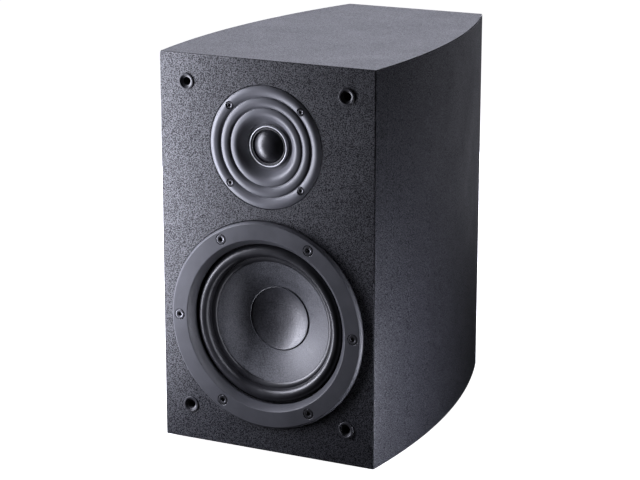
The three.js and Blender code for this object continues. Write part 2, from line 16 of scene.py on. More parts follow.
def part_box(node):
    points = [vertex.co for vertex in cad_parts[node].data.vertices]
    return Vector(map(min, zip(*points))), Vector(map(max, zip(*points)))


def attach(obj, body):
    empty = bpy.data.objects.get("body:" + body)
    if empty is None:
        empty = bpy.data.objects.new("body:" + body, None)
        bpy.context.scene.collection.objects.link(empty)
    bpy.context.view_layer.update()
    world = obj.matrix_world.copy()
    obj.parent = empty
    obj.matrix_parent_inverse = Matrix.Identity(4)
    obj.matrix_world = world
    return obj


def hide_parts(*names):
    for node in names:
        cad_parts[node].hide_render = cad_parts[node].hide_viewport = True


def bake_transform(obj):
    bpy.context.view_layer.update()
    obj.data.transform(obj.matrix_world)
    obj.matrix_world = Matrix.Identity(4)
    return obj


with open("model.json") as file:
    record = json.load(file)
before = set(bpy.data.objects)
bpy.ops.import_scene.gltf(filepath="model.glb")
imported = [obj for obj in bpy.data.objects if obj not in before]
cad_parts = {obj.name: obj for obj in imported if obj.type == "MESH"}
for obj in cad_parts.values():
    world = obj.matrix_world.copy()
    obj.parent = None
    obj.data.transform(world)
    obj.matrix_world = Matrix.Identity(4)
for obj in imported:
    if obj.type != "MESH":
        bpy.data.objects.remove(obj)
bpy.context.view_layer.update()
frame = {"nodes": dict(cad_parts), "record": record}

random.seed(7)
MM = 0.001
BAFFLE_LOW, BAFFLE_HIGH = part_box("front_baffle")
ORIGIN = Vector((0.0, BAFFLE_LOW[1], BAFFLE_LOW[2]))
CABINET = "cabinet"

# ---- sizes, in mm, as in the CAD ------------------------------------------------------------
HEIGHT = (BAFFLE_HIGH[2] - BAFFLE_LOW[2]) / MM
DEPTH = 304.0
WALL = 15.0
SIDE_RADIUS = 690.0
SIDE_WIDEST = 106.3
SIDE_WIDEST_Y = 80.0
REAR_FACE = 302.5
REAR_INNER = REAR_FACE - WALL
SEAM = 0.72  # how far a panel stands back from its neighbour at a mitre
TWEETER_PLATE_RADIUS = 53.0
FLANGE_RADIUS = 92.0
FLANGE_FRONT = -4.0
FLANGE_REBATE = 5.2
TWEETER_REBATE = 4.2
CUP_FACE = REAR_FACE + 2.5
CUP_FLOOR = REAR_FACE - 22.0
THREAD_PITCH = 0.8


def centre_of(node):
    """x and z of a node's middle, in cabinet millimetres."""
    low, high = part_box(node)
    return ((low[0] + high[0]) / 2 - ORIGIN.x) / MM, ((low[2] + high[2]) / 2 - ORIGIN.z) / MM


def depth_of(node):
    """y of a node's front and of its back, in cabinet millimetres."""
    low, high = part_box(node)
    return (low[1] - ORIGIN.y) / MM, (high[1] - ORIGIN.y) / MM


def radius_of(node):
    """Half of a round node's width, in millimetres."""
    low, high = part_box(node)
    return (high[0] - low[0]) / 2 / MM


WOOFER = (0.0, centre_of("woofer_basket")[1])
TWEETER = (0.0, centre_of("tweeter_faceplate")[1])
PORT = (0.0, centre_of("bass_reflex_port")[1])
CUP = (0.0, centre_of("terminal_cup")[1])
CORNERS = ("top_left", "top_right", "bottom_left", "bottom_right")
SOCKETS = {corner: centre_of("grille_socket_" + corner) for corner in CORNERS}


def to_row(x, y, z):
    """Cabinet millimetres to the row frame in metres."""
    return Vector((x * MM, y * MM, z * MM)) + ORIGIN


# ---- materials ------------------------------------------------------------------------------
def new_material(name):
    m = bpy.data.materials.new(name)
    m.use_nodes = True
    tree = m.node_tree
    shader = tree.nodes["Principled BSDF"]
    return m, tree, shader


def object_coordinates(tree):
    return tree.nodes.new("ShaderNodeTexCoord").outputs["Object"]


def noise(tree, vector, scale, detail=3.0, roughness=0.6):
    n = tree.nodes.new("ShaderNodeTexNoise")
    n.inputs["Scale"].default_value = scale
    n.inputs["Detail"].default_value = detail
    n.inputs["Roughness"].default_value = roughness
    tree.links.new(vector, n.inputs["Vector"])
    return n.outputs["Fac"]


def spread(tree, value, low, high, from_low=0.3, from_high=0.7):
    """A number between low and high, driven by a texture value."""
    n = tree.nodes.new("ShaderNodeMapRange")
    n.inputs["From Min"].default_value = from_low
    n.inputs["From Max"].default_value = from_high
    n.inputs["To Min"].default_value = low
    n.inputs["To Max"].default_value = high
    tree.links.new(value, n.inputs["Value"])
    return n.outputs["Result"]


def blend_colours(tree, value, dark, light, from_low=0.3, from_high=0.7):
    ramp = tree.nodes.new("ShaderNodeValToRGB")
    ramp.color_ramp.elements[0].position = from_low
    ramp.color_ramp.elements[0].color = (*dark, 1)
    ramp.color_ramp.elements[1].position = from_high
    ramp.color_ramp.elements[1].color = (*light, 1)
    tree.links.new(value, ramp.inputs["Fac"])
    return ramp.outputs["Color"]


def bump(tree, height, strength, distance):
    n = tree.nodes.new("ShaderNodeBump")
    n.inputs["Strength"].default_value = strength
    n.inputs["Distance"].default_value = distance
    tree.links.new(height, n.inputs["Height"])
    return n.outputs["Normal"]


def add_values(tree, a, b, weight):
    """a + weight * b."""
    n = tree.nodes.new("ShaderNodeMath")
    n.operation = "MULTIPLY_ADD"
    n.inputs[1].default_value = weight
    tree.links.new(b, n.inputs[0])
    tree.links.new(a, n.inputs[2])
    return n.outputs["Value"]


def set_inputs(shader, **values):
    """Constants set on the shader's sockets, with _ for the spaces in their names."""
    for key, value in values.items():
        shader.inputs[key.replace("_", " ")].default_value = value


def make_vinyl(name, dark, light, rough, grain):
    """Pebbled covering: rounded grains, with painted shade that makes their valleys darker and duller than
    their pale tops, and faint cloudy wear.
    """
    m, tree, shader = new_material(name)
    vector = object_coordinates(tree)
    pebbles = noise(tree, vector, grain, 1.5, 0.5)
    fine = noise(tree, vector, grain * 2.4, 1.0)
    clouds = noise(tree, vector, 22.0, 4.0)
    height = add_values(tree, pebbles, fine, 0.3)
    tree.links.new(bump(tree, height, 0.8, 0.00026), shader.inputs["Normal"])
    # Painted shade: the colour runs from dark in the grain's valleys to pale on its tops, and the valleys
    # reflect less than the tops.
    tree.links.new(blend_colours(tree, pebbles, dark, light, 0.41, 0.59), shader.inputs["Base Color"])
    tree.links.new(spread(tree, pebbles, 0.15, 1.0, 0.4, 0.6), shader.inputs["Specular IOR Level"])
    mixed = add_values(tree, clouds, pebbles, 0.4)
    tree.links.new(spread(tree, mixed, rough - 0.05, rough + 0.08, 0.4, 1.0), shader.inputs["Roughness"])
    return m


def make_moulded(name, dark, light, rough, scale, strength, metallic=0.0, coat=0.0, specular=0.5):
    """Plain moulded, painted or cast surface: fine grain, cloudy colour and uneven gloss."""
    m, tree, shader = new_material(name)
    vector = object_coordinates(tree)
    fine = noise(tree, vector, scale, 3.0)
    clouds = noise(tree, vector, 60.0, 5.0)
    tree.links.new(bump(tree, fine, strength, 0.0001), shader.inputs["Normal"])
    tree.links.new(blend_colours(tree, clouds, dark, light), shader.inputs["Base Color"])
    mixed = add_values(tree, clouds, fine, 0.35)
    tree.links.new(spread(tree, mixed, rough - 0.06, rough + 0.08, 0.4, 0.95), shader.inputs["Roughness"])
    set_inputs(shader, Metallic=metallic, Coat_Weight=coat, Specular_IOR_Level=specular)
    return m


def make_cone_paper(name, dark, light, rough, specular):
    """Coated pulp: short fibres and faint blotches."""
    m, tree, shader = new_material(name)
    vector = object_coordinates(tree)
    fibres = noise(tree, vector, 1050.0, 2.0, 0.6)
    blotches = noise(tree, vector, 90.0, 4.0)
    tree.links.new(bump(tree, fibres, 0.8, 0.00022), shader.inputs["Normal"])
    mixed = add_values(tree, fibres, blotches, 0.3)
    tree.links.new(blend_colours(tree, mixed, dark, light, 0.5, 0.8), shader.inputs["Base Color"])
    tree.links.new(spread(tree, mixed, rough - 0.06, rough + 0.08, 0.5, 0.8), shader.inputs["Roughness"])
    set_inputs(shader, Specular_IOR_Level=specular)
    return m


def make_weave(name, dark, light, rough, scale=1800.0, sheen=0.2, coat=0.0):
    """Fine cloth: two crossed bands."""
    m, tree, shader = new_material(name)
    vector = object_coordinates(tree)
    bands = []
    for direction in ("X", "Z"):
        wave = tree.nodes.new("ShaderNodeTexWave")
        wave.bands_direction = direction
        wave.inputs["Scale"].default_value = scale / 3
        wave.inputs["Distortion"].default_value = 0.6
        tree.links.new(vector, wave.inputs["Vector"])
        bands.append(wave.outputs["Fac"])
    height = add_values(tree, bands[0], bands[1], 1.0)
    tree.links.new(bump(tree, height, 0.3, 0.0001), shader.inputs["Normal"])
    clouds = noise(tree, vector, 130.0, 4.0)
    tree.links.new(blend_colours(tree, clouds, dark, light), shader.inputs["Base Color"])
    tree.links.new(spread(tree, clouds, rough - 0.05, rough + 0.08), shader.inputs["Roughness"])
    set_inputs(shader, Sheen_Weight=sheen, Coat_Weight=coat)
    return m


def make_winding(name, dark, light, rough, scale=900.0, direction="Y"):
    """Close turns of enamelled wire, or a turned surface."""
    m, tree, shader = new_material(name)
    vector = object_coordinates(tree)
    wave = tree.nodes.new("ShaderNodeTexWave")
    wave.bands_direction = direction
    wave.inputs["Scale"].default_value = scale / 3
    wave.inputs["Distortion"].default_value = 0.15
    tree.links.new(vector, wave.inputs["Vector"])
    tree.links.new(bump(tree, wave.outputs["Fac"], 0.35, 0.00015), shader.inputs["Normal"])
    clouds = noise(tree, vector, 160.0, 3.0)
    tree.links.new(blend_colours(tree, clouds, dark, light), shader.inputs["Base Color"])
    tree.links.new(spread(tree, clouds, rough - 0.05, rough + 0.1), shader.inputs["Roughness"])
    set_inputs(shader, Metallic=1.0)
    return m


MATERIALS = {
    # moulded: dark and light colour, roughness, grain scale, bump strength, then metallic, coat, specular
    "vinyl": make_vinyl("pebbled_vinyl", (0.002, 0.002, 0.003), (0.045, 0.046, 0.054), 0.4, grain=1250.0),
    "mdf": make_moulded("fibreboard", (0.34, 0.24, 0.15), (0.50, 0.38, 0.25), 0.85, 700, 0.5),
    "wadding": make_weave(
        "polyester_wadding", (0.62, 0.61, 0.57), (0.82, 0.81, 0.77), 0.95, 500, sheen=0.6),
    "foot_rubber": make_moulded(
        "foot_rubber", (0.016, 0.016, 0.017), (0.032, 0.032, 0.034), 0.7, 900, 0.3),
    "socket_rubber": make_moulded(
        "glossy_socket", (0.03, 0.03, 0.033), (0.045, 0.045, 0.05), 0.3, 900, 0.05),
    "tweeter_plate": make_moulded(
        "satin_faceplate", (0.105, 0.107, 0.118), (0.13, 0.132, 0.145), 0.42, 1600, 0.12),
    "trim_ring": make_moulded(
        "bright_trim", (0.78, 0.79, 0.81), (0.88, 0.89, 0.91), 0.45, 1500, 0.05, metallic=0.35),
    "tweeter_fabric": make_weave("doped_cloth", (0.008, 0.008, 0.01), (0.016, 0.016, 0.018), 0.4),
    "dome_fabric": make_moulded(
        "coated_silk", (0.014, 0.014, 0.017), (0.024, 0.024, 0.028), 0.32, 1800, 0.06),
    "coil_wire": make_winding("enamelled_wire", (0.42, 0.16, 0.07), (0.62, 0.28, 0.13), 0.32),
    "plated_steel": make_winding(
        "turned_plate", (0.42, 0.42, 0.44), (0.56, 0.56, 0.58), 0.34, scale=1500, direction="X"),
    "ferrite": make_moulded(
        "sintered_ferrite", (0.035, 0.035, 0.037), (0.07, 0.07, 0.073), 0.7, 800, 0.4, metallic=0.2),
    "black_screw": make_moulded(
        "black_oxide", (0.1, 0.1, 0.107), (0.15, 0.15, 0.16), 0.3, 1500, 0.1, metallic=0.8),
    "cast_frame": make_moulded(
        "satin_paint", (0.058, 0.059, 0.065), (0.07, 0.071, 0.079), 0.42, 1700, 0.12, specular=0.38),
    "surround_rubber": make_moulded(
        "surround_rubber", (0.011, 0.011, 0.013), (0.019, 0.019, 0.022), 0.34, 1100, 0.1),
    "cone_paper": make_cone_paper(
        "cone_paper", (0.028, 0.029, 0.033), (0.1, 0.102, 0.113), 0.46, specular=0.5),
    "cap_paper": make_cone_paper(
        "cap_paper", (0.016, 0.016, 0.019), (0.06, 0.061, 0.07), 0.4, specular=0.85),
    "spider_cloth": make_weave("spider_cloth", (0.30, 0.16, 0.05), (0.46, 0.28, 0.10), 0.85, 1500),
    "moulded_plastic": make_moulded(
        "grained_plastic", (0.012, 0.012, 0.013), (0.024, 0.024, 0.026), 0.45, 1100, 0.3),
    "terminal_brass": make_winding(
        "gold_plate", (0.66, 0.45, 0.16), (0.86, 0.64, 0.28), 0.2, scale=1600),
    "knob_red": make_moulded(
        "clear_red", (0.32, 0.01, 0.012), (0.42, 0.016, 0.018), 0.18, 900, 0.04, coat=0.4),
    "knob_black": make_moulded(
        "clear_black", (0.009, 0.009, 0.010), (0.016, 0.016, 0.018), 0.18, 900, 0.04, coat=0.4),
    "circuit_board": make_weave(
        "solder_resist", (0.015, 0.10, 0.045), (0.03, 0.17, 0.08), 0.35, 700, sheen=0.0, coat=0.3),
    "film_capacitor": make_moulded(
        "yellow_film", (0.5, 0.32, 0.05), (0.66, 0.46, 0.1), 0.3, 800, 0.1),
    "lead_sleeve": make_weave("lead_sleeve", (0.2, 0.015, 0.015), (0.34, 0.03, 0.03), 0.5, 1600),
}

for row in frame["record"]["subparts"]:
    node = frame["nodes"][row["node"]]
    node.data.materials.clear()
    node.data.materials.append(MATERIALS[row["material_slot"]])


# ---- mesh helpers ---------------------------------------------------------------------------
def finish_mesh(name, bm, slot, body, nodes, sharp=35.0, weighted=False):
    """Turns a bmesh in cabinet millimetres into a piece that stands for its nodes and rides on a body."""
    bmesh.ops.remove_doubles(bm, verts=bm.verts, dist=0.002)
    bmesh.ops.dissolve_degenerate(bm, edges=bm.edges, dist=0.0005)
    bmesh.ops.recalc_face_normals(bm, faces=bm.faces)
    for v in bm.verts:
        v.co = to_row(*v.co)
    mesh = bpy.data.meshes.new(name)
    bm.to_mesh(mesh)
    bm.free()
    mesh.polygons.foreach_set("use_smooth", [True] * len(mesh.polygons))
    mesh.set_sharp_from_angle(angle=math.radians(sharp))
    mesh.materials.append(MATERIALS[slot])
    obj = bpy.data.objects.new(name, mesh)
    bpy.context.scene.collection.objects.link(obj)
    if weighted:
        modifier = obj.modifiers.new("weighted_normals", "WEIGHTED_NORMAL")
        modifier.keep_sharp = True
        modifier.weight = 100
    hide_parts(*nodes)
    if body:
        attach(obj, body)
    return obj


def curve(points, steps=6):
    """A smooth line through points, Catmull-Rom, as a list of [a, b] pairs."""
    padded = [points[0], *points, points[-1]]
    line = []
    for i in range(1, len(padded) - 2):
        p0, p1, p2, p3 = (Vector(p) for p in padded[i - 1:i + 3])
        for s in range(steps):
            t = s / steps
            line.append(list(0.5 * (2 * p1 + (p2 - p0) * t + (2 * p0 - 5 * p1 + 4 * p2 - p3) * t ** 2
                                    + (3 * p1 - p0 - 3 * p2 + p3) * t ** 3)))
    line.append(list(points[-1]))
    return line


def arc(centre, radius, start, end, steps):
    """Points on an arc in the profile plane, angles in degrees from the radial direction towards +Y."""
    line = []
    for s in range(steps + 1):
        a = math.radians(start + (end - start) * s / steps)
        line.append([centre[0] + radius * math.cos(a), centre[1] + radius * math.sin(a)])
    return line


def spin(bm, profile, centre, segments=160, closed=False):
    """Turns a profile of [radius, y] about the Y axis through centre = (x, z), and returns its rings."""
    rings = []
    for r, y in profile:
        if r < 1e-6:
            rings.append([bm.verts.new((centre[0], y, centre[1]))])
            continue
        ring = []
        for i in range(segments):
            a = 2 * math.pi * i / segments
            ring.append(bm.verts.new((centre[0] + r * math.cos(a), y, centre[1] + r * math.sin(a))))
        rings.append(ring)
    pairs = list(zip(rings, rings[1:])) + ([(rings[-1], rings[0])] if closed else [])
    for a, b in pairs:
        bridge(bm, a, b)
    return rings


def bridge(bm, a, b):
    """Faces between two closed rings of vertices, or a ring and a point."""
    n = max(len(a), len(b))
    for i in range(n):
        j = (i + 1) % n
        if len(a) == 1:
            bm.faces.new((a[0], b[j], b[i]))
        elif len(b) == 1:
            bm.faces.new((a[i], a[j], b[0]))
        else:
            bm.faces.new((a[i], a[j], b[j], b[i]))


def lathe(name, profile, centre, slot, body, nodes, segments=160, closed=False, **keywords):
    bm = bmesh.new()
    spin(bm, profile, centre, segments, closed)
    return finish_mesh(name, bm, slot, body, nodes, **keywords)


def circle(centre, radius, segments):
    return [(centre[0] + radius * math.cos(2 * math.pi * i / segments),
             centre[1] + radius * math.sin(2 * math.pi * i / segments)) for i in range(segments)]


def rectangle(x0, x1, z0, z1, radius=0.0, steps=6):
    """Corners of a rectangle, rounded where a radius is given."""
    points = []
    for cx, cz, start in ((x1, z0, -90), (x1, z1, 0), (x0, z1, 90), (x0, z0, 180)):
        mx = cx - radius if cx == x1 else cx + radius
        mz = cz - radius if cz == z1 else cz + radius
        if radius <= 0:
            points.append((cx, cz))
            continue
        for s in range(steps + 1):
            a = math.radians(start + 90 * s / steps)
            points.append((mx + radius * math.cos(a), mz + radius * math.sin(a)))
    return points


def inside(point, loop):
    """True where a point lies inside a closed loop."""
    x, z = point
    hit = False
    for (x1, z1), (x2, z2) in zip(loop, loop[1:] + loop[:1]):
        if (z1 > z) != (z2 > z) and x < (x2 - x1) * (z - z1) / (z2 - z1) + x1:
            hit = not hit
    return hit


def fill(bm, outline, holes, y):
    """A flat face at depth y with holes. Returns the vertices of the outline and of each hole."""
    loops = [outline, *holes]
    points = [Vector(p) for loop in loops for p in loop]
    edges = []
    start = 0
    for loop in loops:
        n = len(loop)
        edges += [(start + i, start + (i + 1) % n) for i in range(n)]
        start += n
    coords, _, faces, _, _, _ = delaunay_2d_cdt(points, edges, [], 1, 1e-5)
    verts = [bm.verts.new((c.x, y, c.y)) for c in coords]
    for f in faces:
        middle = sum((coords[i] for i in f), Vector((0, 0))) / len(f)
        if any(inside(middle, hole) for hole in holes):
            continue
        bm.faces.new([verts[i] for i in f])
    found = []
    start = 0
    for loop in loops:
        found.append(verts[start:start + len(loop)])
        start += len(loop)
    return found


def stack(bm, first, loops):
    """Walls from a ring of vertices down through loops of (x, y, z) points."""
    ring = first
    for loop in loops:
        following = [bm.verts.new(p) for p in loop]
        bridge(bm, ring, following)
        ring = following
    return ring


def at_depth(loop, y):
    return [(x, y, z) for x, z in loop]


def bevel_sharp(bm, width):
    """Rounds every edge that turns by more than 32 degrees."""
    bmesh.ops.recalc_face_normals(bm, faces=bm.faces)
    sharp = math.radians(32.0)
    edges = [e for e in bm.edges if len(e.link_faces) == 2 and e.calc_face_angle(0) > sharp]
    bmesh.ops.bevel(bm, geom=edges, offset=width, segments=3, profile=0.5, affect="EDGES",
                    clamp_overlap=True)


# ---- cabinet --------------------------------------------------------------------------------
def side_x(y, inset=0.0):
    """Half of the cabinet's width at a depth, between the bowed sides."""
    return SIDE_WIDEST - SIDE_RADIUS + math.sqrt((SIDE_RADIUS - inset) ** 2 - (y - SIDE_WIDEST_Y) ** 2)


STATIONS = 56


def station(i):
    """Depth of the outer and of the inner face of a panel at a station."""
    t = i / STATIONS
    outer = SEAM + (DEPTH - SEAM) * t
    inner = WALL + SEAM + (DEPTH - WALL - SEAM) * t
    return outer, inner


def sweep(name, section, node):
    """A panel swept along the depth. section(outer y, inner y) gives its corners as x, y, z."""
    bm = bmesh.new()
    rings = [[bm.verts.new(p) for p in section(*station(i))] for i in range(STATIONS + 1)]
    for a, b in zip(rings, rings[1:]):
        bridge(bm, a, b)
    bm.faces.new(rings[0])
    bm.faces.new(rings[-1])
    bevel_sharp(bm, 0.75)
    finish_mesh(name, bm, "vinyl", CABINET, [node], weighted=True)


def build_panels():
    """The two bowed sides and the flat top and bottom, mitred together along their edges."""
    for side, label in ((-1, "left"), (1, "right")):
        def section(outer, inner, side=side):
            xo = side * side_x(outer)
            xi = side * side_x(inner, WALL)
            return [(xo, outer, SEAM), (xo, outer, HEIGHT - SEAM),
                    (xi, inner, HEIGHT - WALL - SEAM), (xi, inner, WALL + SEAM)]
        sweep(f"vis_{label}_side_panel", section, f"{label}_side_panel")
    for label, zo, zi in (("top", HEIGHT, HEIGHT - WALL), ("bottom", 0.0, WALL)):
        def section(outer, inner, zo=zo, zi=zi):
            xo, xi = side_x(outer), side_x(inner, WALL)
            return [(-xo, outer, zo), (xo, outer, zo), (xi, inner, zi), (-xi, inner, zi)]
        sweep(f"vis_{label}_panel", section, f"{label}_panel")


def build_baffle():
    """The baffle: soft edges round it and round each opening, and a rebate under each driver's flange."""
    bm = bmesh.new()
    half = side_x(0.0)

    def edge_loop(inset):
        return rectangle(-half + inset, half - inset, inset, HEIGHT - inset)

    # The edge is a 45 degree mitre, softened where it meets the face.
    rim = [(0.95, 0.0), (0.6, 0.07), (0.38, 0.26), (0.4, 0.5), (0.62, 0.62), (WALL + 0.2, WALL)]
    woofer_mouth = FLANGE_RADIUS + 0.6
    tweeter_mouth = TWEETER_PLATE_RADIUS + 0.45
    socket_mouth = 6.4
    woofer_hole, tweeter_hole = 78.0, 42.5

    def rebate(mouth, hole, depth):
        return [(mouth, depth), (hole, depth), (hole, WALL)]

    lips = [  # centre, mouth radius, then radius and depth of each step, and the number of points round it
        (WOOFER, woofer_mouth, rebate(woofer_mouth, woofer_hole, FLANGE_REBATE), 192),
        (TWEETER, tweeter_mouth, rebate(tweeter_mouth, tweeter_hole, TWEETER_REBATE), 160),
    ] + [(place, socket_mouth, [(socket_mouth, WALL)], 48) for place in SOCKETS.values()]
    mouths = [circle(centre, radius + 0.4, n) for centre, radius, _, n in lips]
    front = fill(bm, edge_loop(rim[0][0]), mouths, 0.0)
    stack(bm, front[0], [at_depth(edge_loop(inset), y) for inset, y in rim[1:]])
    for (centre, radius, steps, n), ring in zip(lips, front[1:]):
        loops = [(radius + 0.12, 0.1), (radius, 0.4), *steps]
        stack(bm, ring, [at_depth(circle(centre, r, n), y) for r, y in loops])
    fill(bm, edge_loop(rim[-1][0]), [circle(c, steps[-1][0], n) for c, _, steps, n in lips], WALL)
    finish_mesh("vis_front_baffle", bm, "vinyl", CABINET, ["front_baffle"], weighted=True)


def build_rear_panel():
    """The rear panel, let in between the walls, with the port's hole and the terminal cup's."""
    bm = bmesh.new()
    gap = WALL + 0.35
    low, high = gap, HEIGHT - gap

    def outline(y, inset):
        x = side_x(y, gap) - inset
        return rectangle(-x, x, low + inset, high - inset)

    def cup_loop(grow):
        half_x, half_z = 36.6 + grow, 27.6 + grow
        return rectangle(-half_x, half_x, CUP[1] - half_z, CUP[1] + half_z, 3.0 + grow)

    def port_loop(grow):
        return circle(PORT, 31.4 + grow, 128)

    soft_edge = 0.4
    cup_hole, port_hole = cup_loop(0.0), port_loop(0.0)
    back = fill(bm, outline(REAR_FACE, 0.8), [port_loop(soft_edge), cup_loop(soft_edge)], REAR_FACE)
    fill(bm, outline(REAR_INNER, 0.0), [port_hole, cup_hole], REAR_INNER)
    stack(bm, back[0], [at_depth(outline(REAR_FACE, 0.25), REAR_FACE - 0.15),
                        at_depth(outline(REAR_FACE, 0.0), REAR_FACE - 0.8),
                        at_depth(outline(REAR_INNER, 0.0), REAR_INNER)])
    for ring, hole in ((back[1], port_hole), (back[2], cup_hole)):
        stack(bm, ring, [at_depth(hole, REAR_FACE - soft_edge), at_depth(hole, REAR_INNER)])
    finish_mesh("vis_rear_panel", bm, "vinyl", CABINET, ["rear_panel"], weighted=True)


def build_feet():
    """Rubber discs with a rounded lower rim and a shallow step inside it."""
    for name in ("foot_front_left", "foot_front_right", "foot_rear_left", "foot_rear_right"):
        low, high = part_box(name)
        cx = ((low[0] + high[0]) / 2 - ORIGIN.x) / MM
        cy = ((low[1] + high[1]) / 2 - ORIGIN.y) / MM
        radius = radius_of(name)
        tall = (high[2] - low[2]) / MM
        profile = [[0, 0], [radius - 0.2, 0], [radius, 0.2], [radius, 1.2], [radius - 0.35, tall - 0.5],
                   [radius - 1.0, tall], [radius - 2.2, tall], [radius - 2.5, tall - 0.25], [0, tall - 0.25]]
        bm = bmesh.new()
        spin(bm, profile, (0, 0), 64)
        turn = Matrix.Rotation(-math.pi / 2, 4, "X")
        bm.transform(Matrix.Translation((cx, cy, 0)) @ turn)
        finish_mesh("vis_" + name, bm, "foot_rubber", CABINET, [name])


# ---- screws ---------------------------------------------------------------------------------
def screw(node, head, head_height, shank, length, key, facing=1):
    """A socket-head screw with a rounded rim and a six-sided key hole, given by its radii and heights.

    facing is 1 for a head that shows to -Y, and -1 for one that shows to +Y.
    """
    x, z = centre_of(node)
    front, back = depth_of(node)
    top = front if facing == 1 else back
    bm = bmesh.new()
    n = 48
    corner = math.pi / 3
    outer = [[key * 1.32, 0.0], [head - 0.75, 0.0], [head - 0.3, 0.1], [head - 0.06, 0.34], [head, 0.7],
             [head, head_height], [shank, head_height], [shank, length - 1.5], [0, length]]
    rings = spin(bm, outer, (0, 0), n)

    def hexagon(radius, y):
        ring = []
        for i in range(n):
            a = 2 * math.pi * i / n
            r = radius * math.cos(corner / 2) / math.cos((a % corner) - corner / 2)
            ring.append((r * math.cos(a), y, r * math.sin(a)))
        return ring

    # The key hole: from a round mouth to a hexagon, then down to a blunt point.
    depth = head_height * 0.72
    ring = stack(bm, rings[0], [hexagon(key * 1.12, 0.22), hexagon(key, 0.5), hexagon(key, depth)])
    bridge(bm, ring, [bm.verts.new((0, depth + 0.5, 0))])
    turn = Matrix.Rotation(random.uniform(0, corner), 4, "Y")
    flip = Matrix.Identity(4) if facing == 1 else Matrix.Rotation(math.pi, 4, "X")
    bm.transform(Matrix.Translation((x, top, z)) @ flip @ turn)
    finish_mesh("vis_" + node, bm, "black_screw", CABINET, [node], sharp=28)


def build_screws():
    for i in range(1, 7):
        screw(f"woofer_screw_{i}", head=4.4, head_height=3.0, shank=2.4, length=26.0, key=2.0)
    for i in range(1, 5):
        screw(f"tweeter_screw_{i}", head=3.1, head_height=1.6, shank=1.7, length=13.0, key=1.35)
        screw(f"terminal_screw_{i}", head=3.0, head_height=1.6, shank=1.4, length=13.0, key=1.3, facing=-1)


def build_sockets():
    """A moulded cup with a stepped glossy rim for each grille peg."""
    profile = [[0, 14.5], [5.8, 14.5], [6.0, 14.3], [6.0, 0.0], [7.1, 0.0], [7.3, -0.15]]
    profile += arc((6.9, -0.5), 0.4, 0, -90, 4)
    profile += [[6.1, -0.9]]
    profile += arc((5.9, -0.5), 0.4, -90, -180, 4)
    profile += [[5.35, 0.0], [5.2, 0.25], [4.7, 0.3], [4.5, 0.45], [4.3, 0.9], [4.0, 1.05], [3.6, 1.15],
                [3.4, 1.4], [3.4, 12.2], [3.2, 12.5], [0, 12.5]]
    for name, place in SOCKETS.items():
        lathe("vis_grille_socket_" + name, profile, place, "socket_rubber", CABINET,
              ["grille_socket_" + name], segments=96)


# ---- tweeter --------------------------------------------------------------------------------
def build_tweeter():
    """The ridged faceplate with its bowl and screw pockets, the trim ring, the surround and the dome."""
    edge = TWEETER_PLATE_RADIUS
    ridges = curve([[edge, 0.6], [edge - 0.3, 0.05], [52, -0.45], [50.2, -1.3], [48.2, -1.6], [45.9, -1.05],
                    [44.2, -0.15], [43, 0.75]])
    ridges += curve([[43, 0.75], [42.3, 0.0], [41.2, -0.62], [38.6, -1.1], [36.2, -0.5], [34.9, 0.45],
                     [34, 1.3]])[1:]
    ridges += curve([[34, 1.3], [33.4, 0.6], [32, 0.1], [29.6, -0.2], [27.6, 0.4], [25.6, 1.9],
                     [23.8, 4.0], [22.3, 6.0], [21.2, 7.4], [19.8, 7.9], [18, 7.9]])[1:]
    body = [[18, 9], [41, 9], [41, 4], [edge, 4]]
    bm = bmesh.new()
    spin(bm, ridges + body, TWEETER, 200, closed=True)
    plate = finish_mesh("vis_tweeter_faceplate", bm, "tweeter_plate", CABINET, ["tweeter_faceplate"],
                        sharp=40)
    pockets = bmesh.new()
    for i in range(1, 5):
        pocket = [[0, -4], [3.75, -4], [3.75, -0.9], [3.6, -0.6], [3.6, 1.1], [1.95, 1.1], [1.95, 6.5],
                  [0, 6.5]]
        spin(pockets, pocket, centre_of(f"tweeter_screw_{i}"), 64)
    cut(plate, pockets)

    lathe("vis_tweeter_trim_ring",
          [[17.7, 8.6], [17.7, 5.0], *arc((17.2, 5.0), 0.5, 0, -180, 10), [16.7, 8.6]],
          TWEETER, "trim_ring", CABINET, ["tweeter_trim_ring"], segments=128, closed=True)

    roll = curve([[16.5, 7.2], [16.35, 6.2], [15.8, 5.4], [15.1, 5.2], [14.5, 5.6], [14.2, 6.3]], 4)
    under = [[14.25, 6.7], [14.9, 5.95], [15.6, 6.0], [16.1, 6.5]]
    surround = lathe("vis_tweeter_surround", roll + under, TWEETER, "tweeter_fabric", None,
                     ["tweeter_surround"], segments=128, closed=True)
    soft_ring(surround)

    dome_radius, dome_height, dome_steps = 14.0, 5.6, 24
    dome = []
    for s in range(dome_steps + 1):
        t = s / dome_steps
        dome.append([dome_radius * t, 6.6 - dome_height * (1 - t ** 2.2)])
    under = [[13.5, 6.9], [9, 4.9], [4, 2.1], [0, 1.7]]
    lathe("vis_tweeter_dome", dome + under, TWEETER, "dome_fabric", "tweeter_motor", ["tweeter_dome"],
          segments=128)


